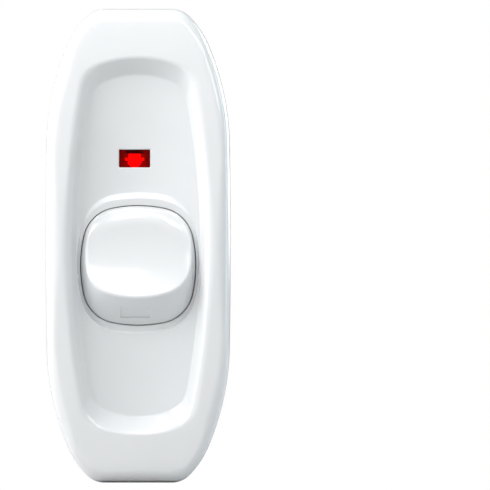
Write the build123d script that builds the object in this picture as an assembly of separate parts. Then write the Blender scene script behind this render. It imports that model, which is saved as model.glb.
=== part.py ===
from build123d import *
import os
from math import cos, hypot, radians, sin, sqrt

# Push-button lock unit of a cable window restrictor, millimetres.
# Each piece is drawn lying on its back: X to the right, Y along the unit, Z out of the window frame
# towards the user. stand_up() then turns it so that Z is up and the front faces -Y.

# --- the housing's outside -------------------------------------------------------------------
HALF_WIDTH = 19.15                # half of the width at mid-length
DEPTH = 22.0                      # from the window frame to the crest of the cover
CROWN_R = 300.0                   # the front is a very flat arch along the unit
LENGTH = 98.0
SIDE_TURN = 1.0                   # degrees that the nearly straight sides turn through
SHOULDER_ARCS = ((55.0, 23.0), (19.0, 45.0), (5.0, 90.0))     # radius, and the angle it ends at
EDGE_R = 3.1                      # roll of the front edge
WALL = 2.0
FLOOR_WALL = 1.8

# --- the finger trough ------------------------------------------------------------------------
FLOOR_Z = 16.2                    # the trough's lowest line
FLOOR_R = 42.0                    # the trough is hollow across
TROUGH_LOW = (11.5, 34.0, 150.0, 12.5, 5.0)      # half-width, half-length, side, end and corner radii
TROUGH_HIGH = (15.2, 44.0, 180.0, 20.0, 8.0)
TROUGH_LOW_Z = 15.0
TROUGH_HIGH_Z = 24.0
RIM_R = 1.8
RIM_EDGE_Z = 19.3                 # the rim's edges lie above this
RIM_EDGE_Y = 41.0                 # and nearer than this
RIM_CORNER = (14.7, 25.0)         # the rim's far corners stay sharp

# --- the push button and the collar around it ---------------------------------------------------
BUTTON_A = 11.85                  # half-width
BUTTON_B = 12.28                  # half-height
BUTTON_Y = -4.07
BUTTON_SIDE_R = 27.0
BUTTON_CORNER_R = 7.5
BUTTON_WALL = 1.5
BUTTON_GAP = 0.45
COLLAR_Z = 18.1                   # height of the collar's upper edge
COLLAR_EDGE_Y = 9.9
COLLAR_TILT = 4.55                # degrees it slopes down along the unit
COLLAR_TOP = (12.55, 13.83, 29.0, 29.0, 8.0, -3.93)      # like TROUGH_LOW, then the centre
COLLAR_FOOT = (12.9, 14.55, 30.0, 30.0, 8.3, -3.55)
DOME_R = 89.0                     # a wide dome rounds the button's upper edge
DOME_CENTRE = (0.0, -25.1, -64.3)
SCOOP_R = 33.0                    # a hollow for the thumb rises from there to the crest
SCOOP_CENTRE = (5.08, 52.19)
SKIRT_Z = 15.6                    # the sloping skirt, from here
CREST_Z = 23.4                    # to the crest
CREST = (9.75, 9.08, 27.0, 22.0, 5.5)            # half-width, half-height, side, end and corner radii
CREST_Y = -1.68
CREST_ROLL = 0.5
BUTTON_FOOT_Z = 13.9
PIVOT_Y = 5.5
PIVOT_Z = 12.6
PIN_R = 1.0
PIN_FIT = 0.05                    # clearance of the button on its pin
EAR_X = (6.2, 7.8)
EAR_R = 2.0
LUG_X = (11.3, 12.9)
LUG_R = 1.9
TAB_X = (-8.0, 8.0)
TAB_Y = (-17.9, -14.9)
TAB_Z = (13.1, 14.1)
TONGUE_X = (4.7, 6.9)
TONGUE_END_Y = -21.5
LABEL_BOX = (6.0, 2.15, -0.6, -13.75)            # width, height, centre

# --- back plate, gasket and window screws ---------------------------------------------------------
GASKET_T = 0.8
PLATE_TOP = 3.2
PLATE_INSET = 2.3
MOUNT_X = 12.5
MOUNT_Y = 30.0
MOUNT_HOLE_R = 1.9
MOUNT_SINK_R = 3.1
MOUNT_SINK_DEPTH = 1.2
GASKET_HOLE_R = 2.4

# --- lock: socket, lock body, fork and ejector -----------------------------------------------------
LOCK_Z = 8.6                      # height of the socket's axis
END_Y = LENGTH / 2                # the flat ends
SOCKET_BORE_R = 3.1
SOCKET_R = 4.2
SOCKET_FLANGE_R = 5.4
SOCKET_FLANGE_T = 1.2
SOCKET_INNER_Y = -33.4
SOCKET_SEAT_R = 5.1
FIT = 0.05                        # clearance between parts that are pushed together
BODY_Y = (-37.0, -18.5)
BODY_HALF_X = 8.6
BODY_SHOULDER_Z = 8.4
BORE_R = 3.1
BORE_END_Y = -20.5
FORK_Y = (-33.0, -31.4)
FORK_HALF_X = 6.9
FORK_NOTCH_R = 3.3
FORK_BAR_Z = (5.7, 7.2)
FORK_ARM_Z = (11.6, 12.8)
FORK_ARM_END_Y = -19.5
LATCH_SPRING_X = 5.8
LATCH_SPRING_Y = -26.0
POCKET_Z = 4.4
LOCK_SCREW_X = 5.6
LOCK_SCREW_YS = (-35.4, -21.8)
LOCK_SCREW_R = 1.0
LOCK_SCREW_HEAD_R = 2.05
LOCK_SCREW_HEAD_T = 1.0
EJECTOR_HEAD_Y = (-31.0, -27.0)
EJECTOR_HEAD_R = 3.02
ROD_R = 1.2
ROD_NECK_R = 0.7

# --- the screw in the upper end ----------------------------------------------------------------
SCREW_BOSS_R = 4.0
SCREW_SINK_R = 2.5
SCREW_SINK_DEPTH = 1.9
SCREW_HOLE_R = 1.45
SCREW_R = 1.25
SCREW_HEAD_R = 2.3
SCREW_DRIVE_R = 0.9
SCREW_TIP_Y = 41.4
INSERT_R = 1.88
INSERT_Y = (41.2, 45.2)
INSERT_BLOCK_X = (-4.2, 4.2)
INSERT_BLOCK_Y = (40.8, 45.2)
INSERT_BLOCK_Z = 12.4

# --- switch -------------------------------------------------------------------------------------
SWITCH_X = (2.9, 9.3)
SWITCH_Y = (-11.0, 1.8)
SWITCH_Z = (5.7, 11.5)
PLUNGER_Y = -4.6
TERMINAL_YS = (-9.0, -4.6, -0.2)
TERMINAL_END_X = 12.3
TERMINAL_Z = 7.2

# --- lamp, board and cell ---------------------------------------------------------------------------
LAMP_X = -0.75
LAMP_Y = 18.05
WINDOW_W = 6.45
WINDOW_H = 3.7
LED_Z = 10.9
LED_R = 1.43
LED_FLANGE_R = 2.0
LED_DOME_Y = 17.63
LEAD_HALF_PITCH = 0.64
LEAD_R = 0.25
LEAD_DROP_Y = 24.0
BOARD_Z = (7.0, 8.2)
BOARD_Y = (9.5, 40.0)
BOARD_HALF_X = 9.0
BOARD_SCREW = (6.5, 37.0)
BOARD_SCREW_R = 0.85
BOARD_SCREW_HEAD_R = 1.9
BOARD_POST_R = 2.2
BOARD_HOLE_R = 1.1
CHIP_X = (-2.0, 2.0)
CHIP_Y = (28.0, 33.0)
CHIP_LEG_X = (-3.1, 3.1)
CHIP_PITCH = 1.27
HOOD_TOP_Z = 13.3
LENS_Z = (13.35, 14.35, 16.05)    # underside, shoulder and face
SPACER_R = (1.9, 1.5)
CELL_Y = 22.0
CELL_R = 10.0
CELL_Z = (3.4, 6.6)
RETURN_SPRING = (-5.5, -8.5)
RETURN_SPRING_Z = (6.2, 14.0)
SPRING_SEAT_R = 2.3
SPRING_PEG_R = 1.3


def box(x, y, z):
    """A block given by its two limits along each axis."""
    middle = ((x[0] + x[1]) / 2, (y[0] + y[1]) / 2, (z[0] + z[1]) / 2)
    return Pos(*middle) * Box(x[1] - x[0], y[1] - y[0], z[1] - z[0])


def rod_z(x, y, r, z):
    """A round bar along Z."""
    return Pos(x, y, (z[0] + z[1]) / 2) * Cylinder(r, z[1] - z[0])


def rod_y(x, z, r, y):
    """A round bar along Y."""
    return Pos(x, (y[0] + y[1]) / 2, z) * Rot(90, 0, 0) * Cylinder(r, y[1] - y[0])


def rod_x(y, z, r, x):
    """A round bar along X."""
    return Pos((x[0] + x[1]) / 2, y, z) * Rot(0, 90, 0) * Cylinder(r, x[1] - x[0])


def pairs(x, ys):
    """The places at both sides of the unit, at each distance along it."""
    return [(side * x, y) for side in (-1, 1) for y in ys]


def mirrored(shape):
    """The piece and its mirror image on the other side of the unit."""
    return shape + mirror(shape, about=Plane.YZ)


def coil(x, y, z, radius, wire_r, turns):
    """A compression spring along Z between two heights, its wire inside both."""
    height = z[1] - z[0] - 2.2 * wire_r
    path = Helix(pitch=height / turns, height=height, radius=radius)
    section = Plane(origin=path @ 0, z_dir=path % 0) * Circle(wire_r)
    return Pos(x, y, z[0] + 1.1 * wire_r) * sweep(section, path=path)


def outline_arcs():
    """The outline's arcs from mid-length, where the sides' radius is the one that gives the length."""
    rise, turned = 0.0, SIDE_TURN
    for radius, until in SHOULDER_ARCS:
        rise += radius * (sin(radians(until)) - sin(radians(turned)))
        turned = until
    return ((END_Y - rise) / sin(radians(SIDE_TURN)), SIDE_TURN), *SHOULDER_ARCS


def housing_outline(inset=0.0):
    """The unit's outline: tangent arcs from mid-length to a flat end, repeated in four quarters."""
    x, y, turned = HALF_WIDTH - inset, 0.0, 0.0
    quarter = []
    for radius, until in outline_arcs():
        r = radius - inset
        cx = x - r * cos(radians(turned))
        cy = y - r * sin(radians(turned))
        half = radians((turned + until) / 2)
        end = (cx + r * cos(radians(until)), cy + r * sin(radians(until)))
        quarter.append(((x, y), (cx + r * cos(half), cy + r * sin(half)), end))
        x, y = end
        turned = until
    edges = [Line((x, side * y), (-x, side * y)) for side in (1, -1)]
    for sx in (1, -1):
        for sy in (1, -1):
            for points in quarter:
                edges.append(ThreePointArc(*[(sx * px, sy * py) for px, py in points]))
    return Face(Wire.combine(edges)[0])


def cushion_outline(a, b, side_r, end_r, corner_r, cy=0.0):
    """A soft rectangle: two side arcs, two end arcs and four corner arcs, all tangent."""
    side_c, end_c = (a - side_r, 0.0), (0.0, b - end_r)
    d1, d2 = side_r - corner_r, end_r - corner_r
    dx, dy = end_c[0] - side_c[0], end_c[1] - side_c[1]
    d = hypot(dx, dy)
    along = (d1 * d1 - d2 * d2 + d * d) / (2 * d)
    off = sqrt(d1 * d1 - along * along)
    crossings = [(side_c[0] + (along * dx + s * off * dy) / d, side_c[1] + (along * dy - s * off * dx) / d)
                 for s in (1, -1)]
    corner_c = max(crossings, key=sum)
    t1 = [side_c[i] + (corner_c[i] - side_c[i]) * side_r / d1 for i in (0, 1)]
    t2 = [end_c[i] + (corner_c[i] - end_c[i]) * end_r / d2 for i in (0, 1)]
    out = [t1[i] + t2[i] - 2 * corner_c[i] for i in (0, 1)]
    mid = [corner_c[i] + corner_r * out[i] / hypot(*out) for i in (0, 1)]

    def at(p, sx, sy):
        return (sx * p[0], sy * p[1] + cy)

    edges = []
    for sx, sy in ((1, 1), (-1, 1), (-1, -1), (1, -1)):
        turn = sx * sy
        if turn > 0:
            edges.append(ThreePointArc(at(t1, sx, -sy), (sx * a, cy), at(t1, sx, sy)))
            edges.append(ThreePointArc(at(t1, sx, sy), at(mid, sx, sy), at(t2, sx, sy)))
        else:
            edges.append(ThreePointArc(at(t2, -sx, sy), (0, cy + sy * b), at(t2, sx, sy)))
            edges.append(ThreePointArc(at(t2, sx, sy), at(mid, sx, sy), at(t1, sx, sy)))
    return Face(Wire(edges))


def button_outline(grow=0.0):
    return cushion_outline(BUTTON_A + grow, BUTTON_B + grow, BUTTON_SIDE_R + grow,
                           BUTTON_SIDE_R + grow, BUTTON_CORNER_R + grow, BUTTON_Y)


def prism(face, z):
    return Pos(0, 0, z[0]) * extrude(face, amount=z[1] - z[0])


def housing_block(inset, z):
    """The housing's outline carried up to the crown, inset on all sides."""
    crown = Pos(0, 0, DEPTH - CROWN_R) * Rot(0, 90, 0) * Cylinder(CROWN_R - inset, 4 * HALF_WIDTH)
    return prism(housing_outline(inset), z) & crown


def trough(grow):
    """The space of the finger trough, grown by a wall where its shell is wanted."""
    layers = []
    for (a, b, side, end, corner), z in ((TROUGH_LOW, TROUGH_LOW_Z), (TROUGH_HIGH, TROUGH_HIGH_Z)):
        face = cushion_outline(a + grow, b + grow, side + grow, end + grow, corner + grow)
        layers.append(Pos(0, 0, z - grow) * face)
    hollow = Pos(0, 0, FLOOR_Z + FLOOR_R) * Rot(90, 0, 0) * Cylinder(FLOOR_R + grow, 4 * END_Y)
    return loft(layers, ruled=True) & hollow


def over_collar():
    """The half-space above the collar's sloping face."""
    block = Pos(0, 0, DEPTH) * Box(4 * HALF_WIDTH, 4 * END_Y, 2 * DEPTH)
    return Pos(0, COLLAR_EDGE_Y, COLLAR_Z) * Rot(COLLAR_TILT, 0, 0) * block


def collar():
    """The ring around the button: it slopes out of the hollow floor and a little into it."""
    foot = Pos(0, 0, FLOOR_Z - FLOOR_WALL) * cushion_outline(*COLLAR_FOOT)
    top = Pos(0, 0, COLLAR_Z) * cushion_outline(*COLLAR_TOP)
    return loft([foot, top], ruled=True) - over_collar()


def pivot_lugs():
    """The two lugs under the floor that hold the button's pin."""
    lug = box(LUG_X, (PIVOT_Y - LUG_R, PIVOT_Y + LUG_R), (PIVOT_Z, FLOOR_Z + 0.8))
    lug += rod_x(PIVOT_Y, PIVOT_Z, LUG_R, LUG_X)
    lug -= rod_x(PIVOT_Y, PIVOT_Z, PIN_R + 0.02, (0, 15))
    return mirrored(lug)


def on_rim(edge):
    """True for the edges where the trough meets the front, but not at its far corners."""
    x, y = abs(edge.center().X), abs(edge.center().Y)
    corner = x > RIM_CORNER[0] and y > RIM_CORNER[1]
    return edge.center().Z > RIM_EDGE_Z and x < TROUGH_HIGH[0] and y < RIM_EDGE_Y and not corner


def end_holes():
    """The screw's hole in the upper end and the socket's hole in the lower end."""
    screw = rod_y(0, LOCK_Z, SCREW_SINK_R, (END_Y - SCREW_SINK_DEPTH, END_Y + 1))
    screw += rod_y(0, LOCK_Z, SCREW_HOLE_R, (40, END_Y + 1))
    socket = rod_y(0, LOCK_Z, SOCKET_FLANGE_R + FIT, (-END_Y - 1, -END_Y + SOCKET_FLANGE_T))
    return screw + socket + rod_y(0, LOCK_Z, SOCKET_R + FIT, (-END_Y - 1, -40))


def front_cover():
    shell = housing_block(0.0, (0, DEPTH + 3))
    front = shell.faces().sort_by(Axis.Z)[-1]
    shell = fillet(front.edges(), EDGE_R)
    shell -= trough(0.0)
    shell = fillet([edge for edge in shell.edges() if on_rim(edge)], RIM_R)
    shell -= housing_block(WALL, (-1, DEPTH)) - trough(FLOOR_WALL)
    shell += collar()
    shell -= prism(cushion_outline(*COLLAR_TOP), (10, DEPTH + 3)) & over_collar()
    shell -= prism(button_outline(BUTTON_GAP), (5, DEPTH + 3))
    shell += pivot_lugs()
    shell += rod_y(0, LOCK_Z, SCREW_BOSS_R, (END_Y - WALL - 1.5, END_Y - 0.5))
    shell += rod_y(0, LOCK_Z, SOCKET_SEAT_R, (-END_Y + 0.5, -END_Y + WALL + 1.0))
    shell -= end_holes()
    window = Pos(LAMP_X, LAMP_Y, 10) * extrude(RectangleRounded(WINDOW_W, WINDOW_H, 0.25), amount=10)
    return shell - window


def back_plate():
    plate = prism(housing_outline(PLATE_INSET), (GASKET_T, PLATE_TOP))
    for x, y in pairs(MOUNT_X, (-MOUNT_Y, MOUNT_Y)):
        plate -= rod_z(x, y, MOUNT_HOLE_R, (0, 5))
        sink = Cone(MOUNT_HOLE_R, MOUNT_SINK_R, MOUNT_SINK_DEPTH)
        plate -= Pos(x, y, PLATE_TOP - MOUNT_SINK_DEPTH / 2) * sink
    for x, y in pairs(LOCK_SCREW_X, LOCK_SCREW_YS):
        plate -= rod_z(x, y, LOCK_SCREW_R + 0.1, (0, 5))
        sink = Cone(LOCK_SCREW_HEAD_R + FIT, LOCK_SCREW_R + 0.1, LOCK_SCREW_HEAD_T)
        plate -= Pos(x, y, GASKET_T + LOCK_SCREW_HEAD_T / 2) * sink
    for x, y in pairs(BOARD_SCREW[0], (BOARD_SCREW[1],)):
        plate += rod_z(x, y, BOARD_POST_R, (PLATE_TOP, BOARD_Z[0]))
        plate -= rod_z(x, y, BOARD_SCREW_R, (GASKET_T + 0.8, BOARD_Z[1]))
    plate += box(SWITCH_X, SWITCH_Y, (PLATE_TOP, SWITCH_Z[0]))
    plate += rod_z(*RETURN_SPRING, SPRING_SEAT_R + 0.1, (PLATE_TOP, RETURN_SPRING_Z[0]))
    plate += rod_z(*RETURN_SPRING, SPRING_PEG_R, (RETURN_SPRING_Z[0], RETURN_SPRING_Z[0] + 1.6))
    plate += box(INSERT_BLOCK_X, INSERT_BLOCK_Y, (PLATE_TOP, INSERT_BLOCK_Z))
    return plate - rod_y(0, LOCK_Z, INSERT_R + 0.02, (40, 46))


def foam_gasket():
    gasket = prism(housing_outline(PLATE_INSET), (0, GASKET_T))
    for x, y in pairs(MOUNT_X, (-MOUNT_Y, MOUNT_Y)):
        gasket -= rod_z(x, y, GASKET_HOLE_R, (-1, 2))
    return gasket


def button_form(inset):
    """The button's outer form, or the hollow inside it when inset by the wall."""
    a, b, side, end, corner = [value - inset for value in CREST]
    crest = Pos(0, 0, CREST_Z) * cushion_outline(a, b, side, end, corner, CREST_Y)
    skirt_foot = Pos(0, 0, SKIRT_Z) * button_outline(-inset)
    form = prism(button_outline(-inset), (BUTTON_FOOT_Z - inset, SKIRT_Z))
    form += loft([skirt_foot, crest], ruled=True)
    form &= Pos(*DOME_CENTRE) * Sphere(DOME_R - inset)
    scoop = Pos(0, *SCOOP_CENTRE) * Rot(0, 90, 0) * Cylinder(SCOOP_R + inset, 4 * HALF_WIDTH)
    return form - scoop


def label_recess():
    """A blank sunken rectangle on the skirt."""
    width, height, x, y = LABEL_BOX
    cut = box((x - width / 2, x + width / 2), (y - height / 2, y + height / 2), (15, 25))
    return cut - button_form(0.25)


def release_button():
    shell = button_form(0.0)
    top = [f for f in shell.faces() if f.center().Z > COLLAR_Z and f.normal_at(f.center()).Z > 0.9]
    seen = [e for f in top for e in f.edges()]
    crest = [e for e in seen if sum(e.is_same(other) for other in seen) == 1]
    shell = fillet(crest, CREST_ROLL)
    button = shell - button_form(BUTTON_WALL)
    ear = box(EAR_X, (PIVOT_Y - EAR_R, PIVOT_Y + EAR_R), (PIVOT_Z, DEPTH))
    ear += rod_x(PIVOT_Y, PIVOT_Z, EAR_R, EAR_X)
    button += mirrored(ear & (shell + prism(button_outline(), (10, BUTTON_FOOT_Z))))
    button += box(TAB_X, TAB_Y, TAB_Z)
    button += box(TAB_X, (TAB_Y[1] - 1, TAB_Y[1]), (TAB_Z[0], 16)) & shell
    button += mirrored(box(TONGUE_X, (TONGUE_END_Y, -16), TAB_Z))
    seat = rod_z(*RETURN_SPRING, SPRING_SEAT_R, (RETURN_SPRING_Z[1], DEPTH))
    button += seat & (shell + rod_z(*RETURN_SPRING, SPRING_SEAT_R + 0.5, (13, 15)))
    button += rod_z(*RETURN_SPRING, SPRING_PEG_R, (12.6, RETURN_SPRING_Z[1] + 0.1))
    button -= rod_x(PIVOT_Y, PIVOT_Z, PIN_R + PIN_FIT, (-9, 9))
    return button - label_recess()


def button_pivot_pin():
    return rod_x(PIVOT_Y, PIVOT_Z, PIN_R, (-LUG_X[1] + 0.2, LUG_X[1] - 0.2))


def lock_body():
    body = box((-BODY_HALF_X, BODY_HALF_X), BODY_Y, (PLATE_TOP, BODY_SHOULDER_Z))
    body += rod_y(0, LOCK_Z, SOCKET_R, BODY_Y)
    body += rod_y(0, LOCK_Z, SOCKET_R + 1.0, (BODY_Y[0], SOCKET_INNER_Y + 0.2))
    body -= rod_y(0, LOCK_Z, SOCKET_R + 0.02, (BODY_Y[0] - 1, SOCKET_INNER_Y))
    body -= rod_y(0, LOCK_Z, BORE_R, (SOCKET_INNER_Y - 1, BORE_END_Y))
    body -= rod_y(0, LOCK_Z, ROD_R + 0.05, (BORE_END_Y - 1, BODY_Y[1] + 1))
    body -= box((-FORK_HALF_X - 0.2, FORK_HALF_X + 0.2), (FORK_Y[0] - 0.2, FORK_Y[1] + 0.2), (0, 20))
    pocket = rod_z(LATCH_SPRING_X, LATCH_SPRING_Y, 1.2, (POCKET_Z, 20))
    body -= mirrored(pocket)
    for x, y in pairs(LOCK_SCREW_X, LOCK_SCREW_YS):
        body -= rod_z(x, y, LOCK_SCREW_R, (0, 7.6))
    return body


def lock_body_screws():
    screws = Part()
    for x, y in pairs(LOCK_SCREW_X, LOCK_SCREW_YS):
        head = Cone(LOCK_SCREW_HEAD_R, LOCK_SCREW_R + FIT, LOCK_SCREW_HEAD_T)
        screws += Pos(x, y, GASKET_T + LOCK_SCREW_HEAD_T / 2) * head
        screws += rod_z(x, y, LOCK_SCREW_R, (GASKET_T + LOCK_SCREW_HEAD_T - 0.1, 7.4))
    return screws


def cable_socket():
    socket = rod_y(0, LOCK_Z, SOCKET_FLANGE_R, (-END_Y, -END_Y + SOCKET_FLANGE_T))
    socket += rod_y(0, LOCK_Z, SOCKET_R, (-END_Y, SOCKET_INNER_Y))
    return socket - rod_y(0, LOCK_Z, SOCKET_BORE_R, (-END_Y - 1, -30))


def latch_fork():
    """A stamped fork whose bar rises into the cable plug's groove, with two arms for the button."""
    fork = box((-FORK_HALF_X, FORK_HALF_X), FORK_Y, (FORK_BAR_Z[0], FORK_ARM_Z[1]))
    notch_z = FORK_BAR_Z[1] + FORK_NOTCH_R
    fork -= rod_y(0, notch_z, FORK_NOTCH_R, (-40, -30))
    fork -= box((-FORK_NOTCH_R, FORK_NOTCH_R), (-40, -30), (notch_z, 20))
    return fork + mirrored(box(TONGUE_X, (FORK_Y[0], FORK_ARM_END_Y), FORK_ARM_Z))


def latch_spring(side):
    return coil(side * LATCH_SPRING_X, LATCH_SPRING_Y, (POCKET_Z, FORK_ARM_Z[0]), 0.9, 0.18, 7)


def plug_ejector():
    """A round head with a tail rod, which thins towards its end so that it works the switch."""
    ejector = rod_y(0, LOCK_Z, EJECTOR_HEAD_R, EJECTOR_HEAD_Y)
    ejector += rod_y(0, LOCK_Z, ROD_R, (EJECTOR_HEAD_Y[1] - 1, PLUNGER_Y - 4))
    taper = Cone(ROD_NECK_R, ROD_R, 5.0)
    return ejector + Pos(0, PLUNGER_Y - 1.5, LOCK_Z) * Rot(90, 0, 0) * taper


def ejector_spring():
    spring = coil(0, 0, (EJECTOR_HEAD_Y[1], BORE_END_Y), 2.2, 0.25, 5)
    return Pos(0, 0, LOCK_Z) * Rot(-90, 0, 0) * spring


def switch_body():
    body = box(SWITCH_X, SWITCH_Y, SWITCH_Z)
    body = fillet(body.edges().filter_by(Axis.X), 0.5)
    return body - box((0, 4.4), (PLUNGER_Y - 0.6, PLUNGER_Y + 0.6), (LOCK_Z - 0.95, LOCK_Z + 0.95))


def switch_plunger():
    return box((0.95, 3.8), (PLUNGER_Y - 0.4, PLUNGER_Y + 0.4), (LOCK_Z - 0.75, LOCK_Z + 0.75))


def switch_terminals():
    blades = Part()
    for y in TERMINAL_YS:
        blades += box((SWITCH_X[1], TERMINAL_END_X), (y - 0.5, y + 0.5), (TERMINAL_Z - 0.2, TERMINAL_Z + 0.2))
    return blades


def switch_wire(start_y, lane_x, board_y):
    """A thin lead from a switch terminal, along the side of the case and onto the board."""
    wire_r = 0.45
    top = BOARD_Z[1] + wire_r
    points = [(TERMINAL_END_X, start_y, TERMINAL_Z), (lane_x, start_y, TERMINAL_Z),
              (lane_x, board_y, top), (8.0, board_y, top)]
    path = FilletPolyline(*points, radius=0.75)
    return sweep(Plane(origin=path @ 0, z_dir=path % 0) * Circle(wire_r), path=path)


def switch_wires():
    return switch_wire(TERMINAL_YS[0], 14.6, 13.4) + switch_wire(TERMINAL_YS[2], 13.3, 11.2)


def control_board():
    board = box((-BOARD_HALF_X, BOARD_HALF_X), BOARD_Y, BOARD_Z)
    for x, y in pairs(BOARD_SCREW[0], (BOARD_SCREW[1],)):
        board -= rod_z(x, y, BOARD_HOLE_R, (0, 10))
    for side in (-1, 1):
        board -= rod_z(LAMP_X + side * LEAD_HALF_PITCH, LEAD_DROP_Y, LEAD_R + 0.1, (0, 10))
    return board


def board_screws():
    x, y = BOARD_SCREW
    screw = rod_z(x, y, BOARD_SCREW_HEAD_R, (BOARD_Z[1], BOARD_Z[1] + 1.3))
    screw += rod_z(x, y, BOARD_SCREW_R, (3.0, BOARD_Z[1]))
    for wide, deep in ((1.2, 0.2), (0.2, 1.2)):
        screw -= box((x - wide, x + wide), (y - deep, y + deep), (BOARD_Z[1] + 0.6, 12))
    return mirrored(screw)


def control_chip():
    chip = box(CHIP_X, CHIP_Y, (BOARD_Z[1] + 0.15, BOARD_Z[1] + 1.6))
    for step in range(4):
        y = CHIP_Y[0] + 0.6 + step * CHIP_PITCH
        chip += box(CHIP_LEG_X, (y - 0.2, y + 0.2), (BOARD_Z[1], BOARD_Z[1] + 0.5))
    return chip


def board_resistors():
    parts = Part()
    for x, y in pairs(6.6, (25.0, 29.0)):
        parts += box((x - 0.8, x + 0.8), (y - 0.4, y + 0.4), (BOARD_Z[1], BOARD_Z[1] + 0.5))
    return parts


def lamp_hood():
    """A small lightproof box on the board that the lamp shines in."""
    hood = box((LAMP_X - 4.4, LAMP_X + 4.4), (LAMP_Y - 3.2, LAMP_Y + 3.4), (BOARD_Z[1], HOOD_TOP_Z))
    hood -= box((LAMP_X - 3.5, LAMP_X + 3.5), (LAMP_Y - 2.3, LAMP_Y + 2.4), (BOARD_Z[1] + 0.6, 14))
    for side in (-1, 1):
        x = LAMP_X + side * LEAD_HALF_PITCH
        hood -= rod_y(x, LED_Z, LEAD_R + 0.08, (LAMP_Y, LAMP_Y + 5))
    return hood


def status_led():
    dome = Pos(LAMP_X, LED_DOME_Y, LED_Z) * Sphere(LED_R)
    dome &= box((-5, 5), (LED_DOME_Y - 3, LED_DOME_Y), (5, 15))
    led = dome + rod_y(LAMP_X, LED_Z, LED_FLANGE_R, (LED_DOME_Y, LED_DOME_Y + 0.55))
    return led + rod_y(LAMP_X, LED_Z, 1.2, (LED_DOME_Y + 0.5, LED_DOME_Y + 1.4))


def led_spacer():
    start = LED_DOME_Y + 1.4
    spacer = rod_y(LAMP_X, LED_Z, SPACER_R[0], (start, start + 0.45))
    spacer += rod_y(LAMP_X, LED_Z, SPACER_R[1], (start, start + 1.3))
    for side in (-1, 1):
        spacer -= rod_y(LAMP_X + side * LEAD_HALF_PITCH, LED_Z, LEAD_R + 0.03, (start - 1, start + 2))
    return spacer


def led_leads():
    leads = Part()
    for side in (-1, 1):
        x = LAMP_X + side * LEAD_HALF_PITCH
        points = [(x, LED_DOME_Y + 1.4, LED_Z), (x, LEAD_DROP_Y, LED_Z), (x, LEAD_DROP_Y, BOARD_Z[0])]
        path = FilletPolyline(*points, radius=0.9)
        leads += sweep(Plane(origin=path @ 0, z_dir=path % 0) * Circle(LEAD_R), path=path)
    return leads


def status_lens():
    under, shoulder, face = LENS_Z
    outline = RectangleRounded(WINDOW_W - 2 * FIT, WINDOW_H - 2 * FIT, 0.2)
    lens = Pos(LAMP_X, LAMP_Y, shoulder - FIT) * extrude(outline, amount=face - shoulder + FIT)
    return lens + box((LAMP_X - 4.2, LAMP_X + 4.2), (LAMP_Y - 2.8, LAMP_Y + 2.8), (under, shoulder))


def coin_cell():
    cell = rod_z(0, CELL_Y, CELL_R, (CELL_Z[0], CELL_Z[1] - 0.4)) + rod_z(0, CELL_Y, 9.1, CELL_Z)
    return fillet(cell.edges().sort_by(Axis.Z)[0], 0.4)


def cell_holder():
    z = (PLATE_TOP, 6.2)
    holder = rod_z(0, CELL_Y, CELL_R + 1.2, z) - rod_z(0, CELL_Y, CELL_R + 0.25, (0, 10))
    holder -= box((-6, 6), (5, 15), (0, 10))
    return holder - box((-2.3, 2.3), (CELL_Y + 5, CELL_Y + CELL_R + 0.6), (0, 10))


def cell_contact_plus():
    y = CELL_Y + CELL_R + 0.02
    strip = box((-2, 2), (y, y + 0.3), (PLATE_TOP, BOARD_Z[0]))
    return strip + box((-2, 2), (y, y + 2.4), (BOARD_Z[0] - 0.3, BOARD_Z[0]))


def cell_contact_minus():
    strip = box((-2.2, 2.2), (CELL_Y - 6, CELL_Y + 3), (BOARD_Z[0] - 0.25, BOARD_Z[0]))
    return strip + rod_z(0, CELL_Y - 2, 1.4, (CELL_Z[1], BOARD_Z[0]))


def cover_screw():
    screw = rod_y(0, LOCK_Z, SCREW_HEAD_R, (END_Y - SCREW_SINK_DEPTH + FIT, END_Y - 0.25))
    screw += rod_y(0, LOCK_Z, SCREW_R, (SCREW_TIP_Y, END_Y - SCREW_SINK_DEPTH + 0.1))
    return screw - rod_y(0, LOCK_Z, SCREW_DRIVE_R, (END_Y - 1.2, END_Y))


def screw_insert():
    return rod_y(0, LOCK_Z, INSERT_R, INSERT_Y) - rod_y(0, LOCK_Z, SCREW_R + 0.02, (40, 46))


NODES = {
    "front_cover": front_cover(),
    "back_plate": back_plate(),
    "foam_gasket": foam_gasket(),
    "release_button": release_button(),
    "button_pivot_pin": button_pivot_pin(),
    "button_return_spring": coil(*RETURN_SPRING, RETURN_SPRING_Z, 1.9, 0.25, 6),
    "lock_body": lock_body(),
    "lock_body_screws": lock_body_screws(),
    "cable_socket": cable_socket(),
    "latch_fork": latch_fork(),
    "latch_spring_left": latch_spring(-1),
    "latch_spring_right": latch_spring(1),
    "plug_ejector": plug_ejector(),
    "ejector_spring": ejector_spring(),
    "switch_body": switch_body(),
    "switch_plunger": switch_plunger(),
    "switch_terminals": switch_terminals(),
    "switch_wires": switch_wires(),
    "control_board": control_board(),
    "board_screws": board_screws(),
    "control_chip": control_chip(),
    "board_resistors": board_resistors(),
    "lamp_hood": lamp_hood(),
    "status_led": status_led(),
    "led_spacer": led_spacer(),
    "led_leads": led_leads(),
    "status_lens": status_lens(),
    "coin_cell": coin_cell(),
    "cell_holder": cell_holder(),
    "cell_contact_plus": cell_contact_plus(),
    "cell_contact_minus": cell_contact_minus(),
    "cover_screw": cover_screw(),
    "screw_insert": screw_insert(),
}

os.makedirs("parts", exist_ok=True)
for name, shape in NODES.items():
    export_step(Rot(90, 0, 0) * shape, f"parts/{name}.step")
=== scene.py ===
import math
import bmesh
import bpy
import numpy as np
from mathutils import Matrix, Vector
from mathutils.bvhtree import BVHTree


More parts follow.
